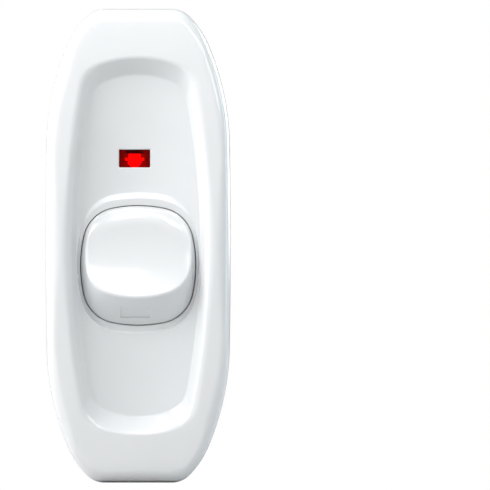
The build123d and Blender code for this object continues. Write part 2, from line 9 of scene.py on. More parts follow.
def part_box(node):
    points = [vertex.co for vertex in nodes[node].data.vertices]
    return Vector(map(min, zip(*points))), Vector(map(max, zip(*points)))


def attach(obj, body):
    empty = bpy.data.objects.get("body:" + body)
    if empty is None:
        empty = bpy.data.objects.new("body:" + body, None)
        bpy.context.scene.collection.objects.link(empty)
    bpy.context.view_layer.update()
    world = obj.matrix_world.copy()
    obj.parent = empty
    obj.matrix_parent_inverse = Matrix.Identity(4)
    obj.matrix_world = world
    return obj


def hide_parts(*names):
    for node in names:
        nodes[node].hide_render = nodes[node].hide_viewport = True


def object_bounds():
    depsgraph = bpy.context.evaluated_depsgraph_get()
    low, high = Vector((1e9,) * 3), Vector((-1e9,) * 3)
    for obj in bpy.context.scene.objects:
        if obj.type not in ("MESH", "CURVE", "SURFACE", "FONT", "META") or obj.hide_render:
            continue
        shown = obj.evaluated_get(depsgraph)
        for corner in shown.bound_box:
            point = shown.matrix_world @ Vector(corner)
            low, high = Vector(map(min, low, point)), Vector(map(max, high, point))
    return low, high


# Lengths are in millimetres in the unit's plan: x to the right, y up the unit, z out of the wall.
# plan_to_frame turns them into the frame's metres, where the front faces -Y.
MM = 0.001

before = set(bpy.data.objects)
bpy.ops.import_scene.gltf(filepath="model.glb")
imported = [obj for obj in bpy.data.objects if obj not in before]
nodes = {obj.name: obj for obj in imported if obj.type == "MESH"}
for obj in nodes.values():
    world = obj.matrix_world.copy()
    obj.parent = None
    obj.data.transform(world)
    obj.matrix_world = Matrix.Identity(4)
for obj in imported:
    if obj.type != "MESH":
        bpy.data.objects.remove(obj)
cad_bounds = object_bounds()
cover_low, cover_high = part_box("front_cover")
HALF_WIDTH = cover_high.x / MM
DEPTH = -cover_low.y / MM
HALF_LENGTH = cover_high.z / MM

# the cover, with the radii and levels of its CAD solid
SIDE_TURN = 1.0                             # degrees that the nearly straight sides turn through
SHOULDER_ARCS = ((55.0, 23.0), (19.0, 45.0), (5.0, 90.0))      # radius, and the angle it ends at
CROWN_R = 300.0
EDGE_ROLL = 3.0
WALL = 2.0
FLOOR_WALL = 1.8
FLOOR_Z = 16.2
FLOOR_R = 42.0
RIM = (14.35, 39.0, 190.0, 24.0, 5.5)       # half-width, half-length, side, end and corner radii
FOOT = (12.8, 35.4, 160.0, 17.0, 5.0)
RIM_ROLL_SIDE = 1.62
RIM_ROLL_END = 0.5
COLLAR_Z = 18.1                             # height of the collar's upper edge
COLLAR_EDGE_Y = 9.9
COLLAR_TILT = 4.55                          # degrees it slopes down along the unit
COLLAR_TOP = (12.55, 13.83, 29.0, 29.0, 8.0)
COLLAR_TOP_Y = -3.93
COLLAR_FOOT = (12.65, 14.55, 30.0, 30.0, 8.3)
COLLAR_FOOT_Y = -3.55
LOCK_Z = 8.6
COLUMNS = 64                                # in each quarter of the cover's rings

# the button
BUTTON = (11.85, 12.28, 27.0, 27.0, 7.5)
BUTTON_Y = -4.07
BUTTON_GAP = 0.16
OPENING_DRAFT = 0.2                          # the opening widens inwards, so the button can tip
OPENING_END_Z = 14.2                        # where the opening's wall ends, inside the cover
BUTTON_WALL = 1.5
BUTTON_FOOT_Z = 13.9
DOME_R = 89.0                               # a wide dome rounds the button's upper edge,
DOME_CENTRE = (0.0, -25.1, -64.3)
SCOOP_R = 33.0                              # and a hollow for the thumb rises from it to the crest
SCOOP_CENTRE = (5.08, 52.19)
CREST_Y = -1.5                              # where the crest's two halves meet
CREST_LOW = (10.95, 9.25, 24.0, 21.0, 6.2)
CREST_HIGH = (10.95, 9.2, 27.0, 27.0, 7.0)
DOME_SIDE_R = 45.0
SCOOP_SIDE_R = 300.0
SCOOP_BLEND = 0.5
SHOULDER_INSET = 1.4                        # the inside's corner stands in from the crest by this
SHOULDER_FILL = 8                           # the higher this power, the less its corner is filled
PILLOW = 0.4                               # extra fall of the button's upper edge
PILLOW_BAND = 3.6
LABEL = (6.0, 2.15, -0.6, -13.75)           # width, height, centre
PIVOT = (5.5, 12.6)

# the camera's view, in metres
VIEW_WIDTH = 0.1014
VIEW_RIGHT = 0.0221
VIEW_UP = 0.00016
SKY = 0.05
LAMP_GLOW = 3.0

# the lamp window
LAMP_X = -0.75
LAMP_Y = 18.05
WINDOW_W = 6.45
WINDOW_H = 3.7
WINDOW_FLARE = 0.25
WINDOW_CORNER_R = 0.22
WINDOW_CUT_Z = (12.0, 17.5)                 # the cutter reaches from below the floor to above it

# what the shells carry inside
PIN_R = 1.0
PIN_FIT = 0.05                              # clearance of the button's ears on the pin
PIN_PRESS = 0.02                            # and of the cover's lugs
LUG_X = (11.3, 12.9)
LUG_R = 1.9
EAR_X = (6.2, 7.8)
EAR_R = 2.0
EAR_TOP_Z = 17.6
TAB_X = (-8, 8)
TAB_Y = (-17.9, -14.9)
WEB_Y = (-16.0, -14.9)
WEB_Z = (13.4, 15.2)
TAB_Z = (13.1, 14.1)
TONGUE_X = (4.7, 6.9)
TONGUE_END_Y = -21.5
RETURN_SPRING = (-5.5, -8.5)
SCREW_BOSS_R = 4.0
SCREW_BOSS_Y = (45.5, 48.0)
SCREW_SINK_R = 2.5
SCREW_SINK_DEPTH = 1.9
SCREW_HOLE_R = 1.45
SCREW_HOLE_START_Y = 39.0
SOCKET_SEAT_R = 5.1
SOCKET_SEAT_Y = (-48.0, -46.0)
FLANGE_SINK_R = 5.45
FLANGE_SINK_DEPTH = 1.2
SOCKET_HOLE_R = 4.25
SOCKET_HOLE_END_Y = -42.0
HOLE_FLARE = 0.3


# ---------------------------------------------------------------- outlines and rings

def cushion_chain(a, b, side_r, end_r, corner_r):
    """The arcs of a quarter of a soft rectangle: (centre x, centre y, radius, start and end angle)."""
    side_c = np.array((a - side_r, 0.0))
    end_c = np.array((0.0, b - end_r))
    d1, d2 = side_r - corner_r, end_r - corner_r
    gap = end_c - side_c
    d = float(np.hypot(*gap))
    along = (d1 * d1 - d2 * d2 + d * d) / (2 * d)
    off = math.sqrt(d1 * d1 - along * along)
    across = np.array((gap[1], -gap[0])) / d
    corner_c = max((side_c + gap / d * along + across * s * off for s in (1, -1)), key=sum)
    turn1 = math.atan2(corner_c[1] - side_c[1], corner_c[0] - side_c[0])
    turn2 = math.atan2(corner_c[1] - end_c[1], corner_c[0] - end_c[0])
    return [(*side_c, side_r, 0.0, turn1), (*corner_c, corner_r, turn1, turn2),
            (*end_c, end_r, turn2, math.pi / 2)]


def outline_arcs():
    """The outline's arcs from mid-length, where the sides' radius is the one that gives the length."""
    rise, turned = 0.0, SIDE_TURN
    for radius, until in SHOULDER_ARCS:
        rise += radius * (math.sin(math.radians(until)) - math.sin(math.radians(turned)))
        turned = until
    return ((HALF_LENGTH - rise) / math.sin(math.radians(SIDE_TURN)), SIDE_TURN), *SHOULDER_ARCS


def housing_chain():
    """The arcs of a quarter of the unit's outline, from mid-length to the flat end."""
    chain, x, y, start = [], HALF_WIDTH, 0.0, 0.0
    for r, until in outline_arcs():
        end = math.radians(until)
        cx, cy = x - r * math.cos(start), y - r * math.sin(start)
        chain.append((cx, cy, r, start, end))
        x, y, start = cx + r * math.cos(end), cy + r * math.sin(end), end
    return chain


def quarter(chain, count, flat=0.0):
    """Points and outward normals along a quarter, closer together where it turns."""
    fine_p, fine_n, turned = [], [], []
    for cx, cy, r, start, end in chain:
        for angle in np.linspace(start, end, 60):
            normal = (math.cos(angle), math.sin(angle))
            fine_p.append((cx + r * normal[0], cy + r * normal[1]))
            fine_n.append(normal)
            turned.append(angle)
    for step in np.linspace(0, 1, 12)[1:]:
        fine_p.append((flat * (1 - step), fine_p[-1][1]))
        fine_n.append((0.0, 1.0))
        turned.append(math.pi / 2)
    p, n = np.array(fine_p), np.array(fine_n)
    length = np.concatenate(([0.0], np.cumsum(np.hypot(*np.diff(p, axis=0).T))))
    measure = 0.55 * length / length[-1] + 0.45 * np.array(turned) / (math.pi / 2)
    measure += np.arange(len(measure)) * 1e-9
    at = np.linspace(0, measure[-1], count + 1)
    p = np.stack([np.interp(at, measure, p[:, i]) for i in (0, 1)], 1)
    n = np.stack([np.interp(at, measure, n[:, i]) for i in (0, 1)], 1)
    p[0, 1] = p[-1, 0] = 0.0
    return p, n / np.hypot(*n.T)[:, None]


def all_round(q):
    """A quarter's points carried round all four quarters."""
    return np.concatenate((q, q[-2::-1] * (-1, 1), q[1:] * (-1, -1), q[-2:0:-1] * (1, -1)))


class Outline:
    """A closed outline: its points, its outward normals and its offsets."""

    def __init__(self, chain, count, flat=0.0, centre_y=0.0):
        p, n = quarter(chain, count, flat)
        self.p = all_round(p) + (0.0, centre_y)
        self.n = all_round(n)

    def ring(self, height, grow=0.0):
        """The outline as a ring in space; height is a number or a function of x and y."""
        xy = self.p + self.n * grow
        z = height(xy[:, 0], xy[:, 1]) if callable(height) else np.full(len(xy), float(height))
        return np.column_stack((xy, z))


def towards(a, b, distance):
    """The point of each column that lies a distance from a on the way to b."""
    way = b - a
    return a + way * (np.asarray(distance) / np.linalg.norm(way, axis=1))[:, None]


def rounded(before, corner, after, distance, steps):
    """Rings that round a corner ring with a circular arc."""
    a, c = towards(corner, before, distance), towards(corner, after, distance)
    u, v = a - corner, c - corner
    cosine = (u * v).sum(1) / (np.linalg.norm(u, axis=1) * np.linalg.norm(v, axis=1))
    weight = np.sqrt(np.clip((1 - cosine) / 2, 0, 1))[:, None]
    rings = []
    for s in np.linspace(0, 1, steps + 1):
        k0, k1, k2 = (1 - s) ** 2, 2 * s * (1 - s) * weight, s * s
        rings.append((a * k0 + corner * k1 + c * k2) / (k0 + k1 + k2))
    return rings


def between(a, b, steps, surface=None):
    """Rings from a to b without either, laid on a surface if one is given."""
    rings = []
    for s in np.linspace(0, 1, steps + 1)[1:-1]:
        ring = a * (1 - s) + b * s
        if surface:
            ring[:, 2] = surface(ring[:, 0], ring[:, 1])
        rings.append(ring)
    return rings


def profile(corners, rounds, steps, surfaces):
    """A closed run of rings through corner rings; each corner is rounded, each stretch subdivided."""
    count = len(corners)
    bends = []
    for i, corner in enumerate(corners):
        distance, bend_steps = rounds[i]
        if bend_steps:
            bends.append(rounded(corners[i - 1], corner, corners[(i + 1) % count], distance, bend_steps))
        else:
            bends.append([corner])
    rings = []
    for i in range(count):
        rings += bends[i] + between(bends[i][-1], bends[(i + 1) % count][0], steps[i], surfaces.get(i))
    return rings


def plan_to_frame(points):
    points = np.asarray(points, float)
    return np.column_stack((points[:, 0], -points[:, 2], points[:, 1])) * MM


def mesh_object(name, points, faces):
    mesh = bpy.data.meshes.new(name)
    mesh.from_pydata(plan_to_frame(points).tolist(), [], faces)
    bm = bmesh.new()
    bm.from_mesh(mesh)
    bmesh.ops.recalc_face_normals(bm, faces=bm.faces)
    bm.to_mesh(mesh)
    bm.free()
    obj = bpy.data.objects.new(name, mesh)
    bpy.context.scene.collection.objects.link(obj)
    return obj


def lofted(name, rings, closed=False, first_cap=None, last_cap=None):
    """A skin over rings. It closes on itself, or its ends close on a point."""
    width = len(rings[0])
    points = np.concatenate(rings)
    pairs = list(zip(range(len(rings)), range(1, len(rings)))) + ([(len(rings) - 1, 0)] if closed else [])
    faces = []
    for low, high in pairs:
        for i in range(width):
            j = (i + 1) % width
            faces.append((low * width + i, low * width + j, high * width + j, high * width + i))
    for cap, ring in ((first_cap, 0), (last_cap, len(rings) - 1)):
        if cap is not None:
            points = np.vstack((points, cap))
            tip = len(points) - 1
            faces += [(ring * width + i, ring * width + (i + 1) % width, tip) for i in range(width)]
    return mesh_object(name, points, faces)


def smooth(obj, angle=40.0):
    obj.data.shade_smooth()
    obj.data.set_sharp_from_angle(angle=math.radians(angle))
    return obj


def combined(obj, others, operation):
    """Joins the others to the object, or takes them out of it."""
    for other in others:
        mod = obj.modifiers.new("combine", "BOOLEAN")
        mod.operation = operation
        mod.solver = "EXACT"
        mod.object = other
        bpy.context.view_layer.objects.active = obj
        bpy.ops.object.modifier_apply(modifier=mod.name)
        bpy.data.objects.remove(other)
    return obj


def cut(obj, cutters):
    return combined(obj, cutters, "DIFFERENCE")


def fused(obj, others):
    return combined(obj, others, "UNION")


# ---------------------------------------------------------------- small solids

def round_bar(name, ends, radii, along, centre, sides=48, turn=0.0):
    """A turned piece: a radius at each of several places along an axis."""
    angles = np.linspace(0, 2 * math.pi, sides, endpoint=False) + turn
    rings = []
    for place, radius in zip(ends, radii):
        u, v = radius * np.cos(angles), radius * np.sin(angles)
        flat = np.full(sides, float(place))
        if along == "x":
            rings.append(np.column_stack((flat, u + centre[0], v + centre[1])))
        else:
            rings.append(np.column_stack((u + centre[0], flat, v + centre[1])))
    middle = {"x": (0, *centre), "y": (centre[0], 0, centre[1])}[along]
    axis = {"x": 0, "y": 1}[along]
    caps = []
    for place in (ends[0], ends[-1]):
        cap = list(middle)
        cap[axis] = place
        caps.append(cap)
    return lofted(name, rings, first_cap=caps[0], last_cap=caps[1])


def soft_block(name, x, y, z, round_r=0.15):
    """A block with rounded edges."""
    obj = mesh_object(name, [(a, b, c) for a in x for b in y for c in z],
                      [(0, 1, 3, 2), (4, 6, 7, 5), (0, 4, 5, 1), (2, 3, 7, 6), (0, 2, 6, 4), (1, 5, 7, 3)])
    bm = bmesh.new()
    bm.from_mesh(obj.data)
    bmesh.ops.bevel(bm, geom=bm.edges, offset=round_r * MM, segments=3, profile=0.5, affect="EDGES")
    bm.to_mesh(obj.data)
    bm.free()
    return obj


def eye_plate(name, x, centre, outer_r, hole_r, top):
    """A plate across x: round below its hole and straight above it, up to a height."""
    angles = np.linspace(0, 2 * math.pi, 64, endpoint=False)
    outer, inner = [], []
    for angle in angles:
        u, v = math.cos(angle), math.sin(angle)
        reach = outer_r
        if v > 0:
            reach = min(outer_r / max(abs(u), 1e-6), (top - centre[1]) / v)
        outer.append((centre[0] + reach * u, centre[1] + reach * v))
        inner.append((centre[0] + hole_r * u, centre[1] + hole_r * v))
    rings = []
    for ring, side in ((inner, 0), (outer, 0), (outer, 1), (inner, 1)):
        rings.append(np.column_stack((np.full(len(angles), float(x[side])), np.array(ring))))
    return lofted(name, rings, closed=True)


# ---------------------------------------------------------------- surfaces

def crown(x, y):
    return DEPTH - CROWN_R + np.sqrt(CROWN_R ** 2 - y ** 2)


def trough_floor(x, y):
    return FLOOR_Z + FLOOR_R - np.sqrt(FLOOR_R ** 2 - x ** 2)


def collar_face(x, y):
    return COLLAR_Z + (y - COLLAR_EDGE_Y) * math.tan(math.radians(COLLAR_TILT))


def under_floor(x, y):
    return trough_floor(x, y) - FLOOR_WALL


def ceiling(x, y):
    return crown(x, y) - WALL


def ease(low, high, value):
    t = np.clip((value - low) / (high - low), 0, 1)
    return t * t * (3 - 2 * t)


def button_top(x, y):
    """The button's top: a hollow ramp up to the crest, under a dome that rounds its upper edge."""
    dome = DOME_CENTRE[2] + np.sqrt(DOME_R ** 2 - (y - DOME_CENTRE[1]) ** 2) - x ** 2 / (2 * DOME_SIDE_R)
    scoop = SCOOP_CENTRE[1] - np.sqrt(SCOOP_R ** 2 - (y - SCOOP_CENTRE[0]) ** 2) - x ** 2 / (2 * SCOOP_SIDE_R)
    near = np.clip(0.5 + 0.5 * (scoop - dome) / SCOOP_BLEND, 0, 1)
    return scoop * (1 - near) + dome * near - SCOOP_BLEND * near * (1 - near)


def height_over(obj):
    """A function of x and y that gives the height of the object's top there."""
    mesh = obj.data
    tree = BVHTree.FromPolygons([v.co.copy() for v in mesh.vertices],
                                [tuple(p.vertices) for p in mesh.polygons])

    def height(x, y):
        flat = []
        for px, py in zip(np.ravel(x), np.ravel(y)):
            hit = tree.ray_cast(Vector((px * MM, -0.1, py * MM)), Vector((0, 1, 0)))[0]
            flat.append(-hit.y / MM)
        return np.array(flat).reshape(np.shape(x))

    return height


# ---------------------------------------------------------------- the two white shells

def front_cover():
    """The cover as one closed shell, from the button's opening over the rim and back inside."""
    outer = Outline(housing_chain(), COLUMNS, flat=housing_flat())
    rim = Outline(cushion_chain(*RIM), COLUMNS)
    foot = Outline(cushion_chain(*FOOT), COLUMNS)
    collar_top = Outline(cushion_chain(*COLLAR_TOP), COLUMNS, centre_y=COLLAR_TOP_Y)
    collar_foot = Outline(cushion_chain(*COLLAR_FOOT), COLUMNS, centre_y=COLLAR_FOOT_Y)
    opening = Outline(cushion_chain(*BUTTON), COLUMNS, centre_y=BUTTON_Y)
    roll = RIM_ROLL_END + (RIM_ROLL_SIDE - RIM_ROLL_END) * rim.n[:, 0] ** 2
    step = np.linalg.norm(collar_top.ring(collar_face) - collar_foot.ring(trough_floor), axis=1)
    edge = np.minimum(0.12, 0.4 * step)
    corners = [
        (opening.ring(OPENING_END_Z, BUTTON_GAP + OPENING_DRAFT), 0, 0, 2, None),
        (opening.ring(collar_face, BUTTON_GAP), 0.12, 3, 2, None),
        (collar_top.ring(collar_face), edge, 3, 3, None),
        (collar_foot.ring(trough_floor), edge, 3, 22, trough_floor),
        (foot.ring(trough_floor), 0.35, 5, 5, None),
        (rim.ring(crown), roll, 12, 8, crown),
        (outer.ring(crown), EDGE_ROLL, 14, 7, None),
        (outer.ring(0.0), 0.35, 4, 2, None),
        (outer.ring(0.0, -WALL), 0.2, 2, 6, None),
        (outer.ring(ceiling, -WALL), 0.7, 4, 2, ceiling),
        (rim.ring(ceiling, 1.5), 0.2, 2, 3, None),
        (foot.ring(under_floor, FLOOR_WALL), 0.3, 2, 12, under_floor),
        (collar_foot.ring(OPENING_END_Z), 0, 0, 2, None),
    ]
    rings = profile([c[0] for c in corners], [(c[1], c[2]) for c in corners],
                    [c[3] for c in corners], {i: c[4] for i, c in enumerate(corners) if c[4]})
    return lofted("cover_shell", rings, closed=True)


def housing_flat():
    cx, cy, r, start, end = housing_chain()[-1]
    return cx + r * math.cos(end)


def crest_ring():
    """The line where the button's top turns down, round the whole button."""
    high, _ = quarter(cushion_chain(*CREST_HIGH), 48)
    low, _ = quarter(cushion_chain(*CREST_LOW), 48)
    quarters = (high, high[-2::-1] * (-1, 1), low[1:] * (-1, -1), low[-2:0:-1] * (1, -1))
    return np.concatenate(quarters) + (0, CREST_Y)


def button_cap():
    """The domed button: a thin shell with a ramp, a crest and a skirt, open below."""
    outline = Outline(cushion_chain(*BUTTON), 48, centre_y=BUTTON_Y)
    middle = np.array((0.0, CREST_Y))
    crest = crest_ring()
    reach = np.linalg.norm(crest - middle, axis=1)
    pillow = PILLOW * ease(-7.0, 2.0, crest[:, 1])

    def top_ring(k):
        xy = middle + (crest - middle) * k
        near = np.clip(1 - (1 - k) * reach / PILLOW_BAND, 0, 1)
        return np.column_stack((xy, button_top(xy[:, 0], xy[:, 1]) - pillow * near ** 2))

    edge = top_ring(1.0)
    wall_top = outline.ring(lambda x, y: collar_face(x, y) - 0.05)
    foot = outline.ring(BUTTON_FOOT_Z)
    inner_foot = outline.ring(BUTTON_FOOT_Z, -BUTTON_WALL)
    turn = np.minimum(0.55, 0.45 * np.linalg.norm(wall_top - edge, axis=1))
    bend = rounded(top_ring(0.9), edge, wall_top, turn, 10)
    start = 1 - turn / reach
    rings = []
    for k in np.linspace(0, 1, 41)[1:-1]:
        rings.append(top_ring(k * start.min()))
    rings += [bend[0]] + bend[1:]
    corner = rounded(edge, wall_top, foot, 0.12, 3)
    rings += between(bend[-1], corner[0], 9) + corner + between(corner[-1], foot, 4)
    rings += rounded(wall_top, foot, inner_foot, 0.3, 3)
    rings += rounded(foot, inner_foot, inner_foot + (0, 0, 2), 0.2, 2)
    inner_top = wall_top - (0, 0, 1.1)
    inner_top[:, :2] = inner_foot[:, :2]
    inner_crest = edge.copy()
    inner_crest[:, :2] = middle + (crest - middle) * (1 - SHOULDER_INSET / reach)[:, None]
    inner_crest[:, 2] = button_top(inner_crest[:, 0], inner_crest[:, 1]) - BUTTON_WALL
    inner_crest[:, 2] = np.maximum(inner_crest[:, 2], inner_top[:, 2] + 0.05)
    rings += between(rings[-1], inner_top, 4) + [inner_top] + between(inner_top, inner_crest, 5)
    for k in np.linspace(1.0, 0.05, 19):
        xy = middle + (inner_crest[:, :2] - middle) * k
        under = button_top(xy[:, 0], xy[:, 1]) - BUTTON_WALL
        rings.append(np.column_stack((xy, np.maximum(under, k ** SHOULDER_FILL * inner_crest[:, 2]))))
    peak = float(button_top(0.0, CREST_Y))
    return lofted("button_cap", rings, first_cap=(0, CREST_Y, peak),
                  last_cap=(0, CREST_Y, peak - BUTTON_WALL))


def window_cutter():
    """The lamp window's opening, with a fine flare where it meets the floor."""
    def frame_ring(half_w, half_h, z):
        corner = WINDOW_CORNER_R
        pts = []
        for sx, sy, turn in ((1, 1, 0), (-1, 1, 1), (-1, -1, 2), (1, -1, 3)):
            for k in np.linspace(0, math.pi / 2, 5):
                a = k + turn * math.pi / 2
                x = LAMP_X + sx * (half_w - corner) + corner * math.cos(a)
                y = LAMP_Y + sy * (half_h - corner) + corner * math.sin(a)
                pts.append((x, y))
        xy = np.array(pts)
        height = z(xy[:, 0], xy[:, 1]) if callable(z) else np.full(len(xy), float(z))
        return np.column_stack((xy, height))

    half_w, half_h = WINDOW_W / 2, WINDOW_H / 2
    low, high = WINDOW_CUT_Z
    rings = [frame_ring(half_w, half_h, low),
             frame_ring(half_w, half_h, lambda x, y: trough_floor(x, y) - WINDOW_FLARE),
             frame_ring(half_w + 2 * WINDOW_FLARE, half_h + 2 * WINDOW_FLARE,
                        lambda x, y: trough_floor(x, y) + WINDOW_FLARE)]
    return lofted("window_cutter", rings, first_cap=(LAMP_X, LAMP_Y, low),
                  last_cap=(LAMP_X, LAMP_Y, high))


def label_cutter(height):
    """The blank sunken rectangle on the skirt, with sloping sides."""
    width, tall, cx, cy = LABEL
    depth, slope = 0.4, 0.26
    xs = np.linspace(-1, 1, 25)
    levels = []
    for rise, grow in ((-depth, -slope / 2), (depth, slope / 2 + slope)):
        gx, gy = np.meshgrid(cx + xs * (width / 2 + grow), cy + xs * (tall / 2 + grow), indexing="ij")
        gz = height(gx, gy) + rise
        levels.append(np.column_stack((gx.ravel(), gy.ravel(), gz.ravel())))
    return grid_solid("label_cutter", levels, 25)


def grid_solid(name, levels, steps):
    """A solid between two grids of points, one above the other."""
    index = np.arange(steps * steps).reshape(steps, steps)
    faces = []
    for layer in (0, steps * steps):
        for i in range(steps - 1):
            for j in range(steps - 1):
                faces.append(tuple(int(layer + v) for v in (index[i, j], index[i + 1, j],
                                                            index[i + 1, j + 1], index[i, j + 1])))
    border = list(index[:, 0]) + list(index[-1, 1:]) + list(index[-2::-1, -1]) + list(index[0, -2:0:-1])
    for k, here in enumerate(border):
        after = border[(k + 1) % len(border)]
        faces.append((int(here), int(after), int(after + steps * steps), int(here + steps * steps)))
    return mesh_object(name, np.concatenate(levels), faces)


def finished_cover():
    """The cover with its window, its screw and socket holes, and the lugs for the button's pin."""
    shell = front_cover()
    boss = round_bar("boss", SCREW_BOSS_Y, (SCREW_BOSS_R,) * 2, "y", (0, LOCK_Z), turn=0.05)
    seat = round_bar("seat", SOCKET_SEAT_Y, (SOCKET_SEAT_R,) * 2, "y", (0, LOCK_Z), turn=0.05)
    lugs = [eye_plate("lug", [side * v for v in LUG_X], PIVOT, LUG_R, PIN_R + PIN_PRESS, FLOOR_Z + 0.7)
            for side in (-1, 1)]
    shell = fused(shell, [boss, seat] + lugs)
    cuts = [round_bar("screw_sink", (HALF_LENGTH - SCREW_SINK_DEPTH, HALF_LENGTH - 0.1, HALF_LENGTH + 0.2),
                      (SCREW_SINK_R, SCREW_SINK_R, SCREW_SINK_R + HOLE_FLARE), "y", (0, LOCK_Z)),
            round_bar("screw_hole", (SCREW_HOLE_START_Y, HALF_LENGTH + 1), (SCREW_HOLE_R,) * 2, "y",
                      (0, LOCK_Z)),
            round_bar("flange_sink",
                      (-HALF_LENGTH - 0.2, -HALF_LENGTH + 0.1, -HALF_LENGTH + FLANGE_SINK_DEPTH),
                      (FLANGE_SINK_R + HOLE_FLARE, FLANGE_SINK_R, FLANGE_SINK_R), "y", (0, LOCK_Z)),
            round_bar("socket_hole", (-HALF_LENGTH - 1, SOCKET_HOLE_END_Y), (SOCKET_HOLE_R,) * 2, "y",
                      (0, LOCK_Z)),
            window_cutter()]
    return cut(shell, cuts)


def finished_button():
    """The button with its recess, ears, latch tongues and spring seat."""
    cap = button_cap()
    label = label_cutter(height_over(cap))
    inside = Outline(cushion_chain(*BUTTON), 48, centre_y=BUTTON_Y)
    ears = []
    for side in (-1, 1):
        ear = eye_plate("ear", [side * v for v in EAR_X], PIVOT, EAR_R, PIN_R + PIN_FIT, EAR_TOP_Z)
        room = lofted("room", [inside.ring(5.0, -0.03), inside.ring(30.0, -0.03)],
                      first_cap=(0, BUTTON_Y, 5.0), last_cap=(0, BUTTON_Y, 30.0))
        ears.append(combined(ear, [room], "INTERSECT"))
    tab = soft_block("tab", TAB_X, TAB_Y, TAB_Z)
    web = soft_block("web", TAB_X, WEB_Y, WEB_Z)
    tongues = [soft_block("tongue", sorted(side * v for v in TONGUE_X), (TONGUE_END_Y, -16), TAB_Z)
               for side in (-1, 1)]
    sx, sy = RETURN_SPRING
    seat = turned_post("spring_seat", (sx, sy), (12.6, 12.8, 14.0, 14.0, 18.5), (1.1, 1.3, 1.3, 2.3, 2.3))
    return cut(fused(cap, ears + [tab, web] + tongues + [seat]), [label])


def turned_post(name, centre, heights, radii, sides=40):
    angles = np.linspace(0, 2 * math.pi, sides, endpoint=False)
    rings = [np.column_stack((centre[0] + r * np.cos(angles), centre[1] + r * np.sin(angles),
                              np.full(sides, float(z)))) for z, r in zip(heights, radii)]
    return lofted(name, rings, first_cap=(*centre, heights[0]), last_cap=(*centre, heights[-1]))


cover = smooth(finished_cover(), 32)
cover.name = "cover_shell"
button = smooth(finished_button(), 32)
button.name = "button_cap"
for piece, body, node in ((cover, "housing", "front_cover"), (button, "button", "release_button")):
    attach(piece, body)
    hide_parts(node)


# ---------------------------------------------------------------- materials

class Finish:
    """One procedural material, built node by node on its Principled shader."""

    def __init__(self, name, rough, metal=0.0, **settings):
        self.mat = bpy.data.materials.new(name)
        self.mat.use_nodes = True
        self.tree = self.mat.node_tree
        self.shader = self.tree.nodes["Principled BSDF"]
        self.shader.inputs["Roughness"].default_value = rough
        self.shader.inputs["Metallic"].default_value = metal
        for label, value in settings.items():
            self.shader.inputs[label.replace("_", " ")].default_value = value
        self.coords = self.tree.nodes.new("ShaderNodeTexCoord")
        self.last_bump = None

    def placed(self, stretch):
        """The piece's own coordinates, drawn out along an axis where the grain has a direction."""
        mapping = self.tree.nodes.new("ShaderNodeMapping")
        mapping.inputs["Scale"].default_value = stretch
        self.tree.links.new(self.coords.outputs["Object"], mapping.inputs["Vector"])
        return mapping.outputs["Vector"]

    def noise(self, size_mm, detail=4.0, stretch=(1, 1, 1)):
        tex = self.tree.nodes.new("ShaderNodeTexNoise")
        tex.inputs["Scale"].default_value = 1 / (size_mm * MM)
        tex.inputs["Detail"].default_value = detail
        self.tree.links.new(self.placed(stretch), tex.inputs["Vector"])
        return tex.outputs["Fac"]

    def cells(self, size_mm, feature="F1"):
        tex = self.tree.nodes.new("ShaderNodeTexVoronoi")
        tex.feature = feature
        tex.inputs["Scale"].default_value = 1 / (size_mm * MM)
        self.tree.links.new(self.placed((1, 1, 1)), tex.inputs["Vector"])
        return tex.outputs["Distance"]

    def ramp(self, value, low, high, start=0.3, end=0.7):
        node = self.tree.nodes.new("ShaderNodeMapRange")
        node.inputs["From Min"].default_value = start
        node.inputs["From Max"].default_value = end
        node.inputs["To Min"].default_value = low
        node.inputs["To Max"].default_value = high
        self.tree.links.new(value, node.inputs["Value"])
        return node.outputs["Result"]

    def colour(self, value, dark, light, start=0.3, end=0.7):
        node = self.tree.nodes.new("ShaderNodeValToRGB")
        node.color_ramp.elements[0].position = start
        node.color_ramp.elements[1].position = end
        node.color_ramp.elements[0].color = (*dark, 1)
        node.color_ramp.elements[1].color = (*light, 1)
        self.tree.links.new(value, node.inputs["Fac"])
        self.tree.links.new(node.outputs["Color"], self.shader.inputs["Base Color"])
        return self

    def roughness(self, value, low, high):
        self.tree.links.new(self.ramp(value, low, high), self.shader.inputs["Roughness"])
        return self

    def bump(self, value, depth_mm, strength=1.0):
        node = self.tree.nodes.new("ShaderNodeBump")
        node.inputs["Distance"].default_value = depth_mm * MM
        node.inputs["Strength"].default_value = strength
        self.tree.links.new(value, node.inputs["Height"])
        if self.last_bump:
            self.tree.links.new(self.last_bump, node.inputs["Normal"])
        self.last_bump = node.outputs["Normal"]
        self.tree.links.new(self.last_bump, self.shader.inputs["Normal"])
        return self


def gloss_white():
    """High-gloss moulded plastic: a hard clear skin with a trace of orange peel."""
    f = Finish("white_gloss", 0.14, Specular_IOR_Level=0.55)
    f.colour(f.noise(14.0, 2.0), (0.766, 0.784, 0.798), (0.782, 0.800, 0.812))
    f.roughness(f.noise(5.0, 6.0), 0.11, 0.17)
    return f.bump(f.noise(1.1, 2.0), 0.0006).mat


def matt_moulding(name, dark, light, rough, grain_mm=0.12, depth_mm=0.012):
    f = Finish(name, rough)
    f.colour(f.noise(6.0, 3.0), dark, light)
    f.roughness(f.noise(1.5, 5.0), rough - 0.06, rough + 0.08)
    return f.bump(f.noise(grain_mm, 2.0), depth_mm).mat


def closed_foam():
    f = Finish("closed_foam", 0.9, Sheen_Weight=0.15)
    f.colour(f.cells(0.35), (0.028, 0.028, 0.031), (0.085, 0.085, 0.09), 0.1, 0.8)
    f.bump(f.cells(0.35), 0.09)
    return f.bump(f.noise(2.5, 4.0), 0.12).mat


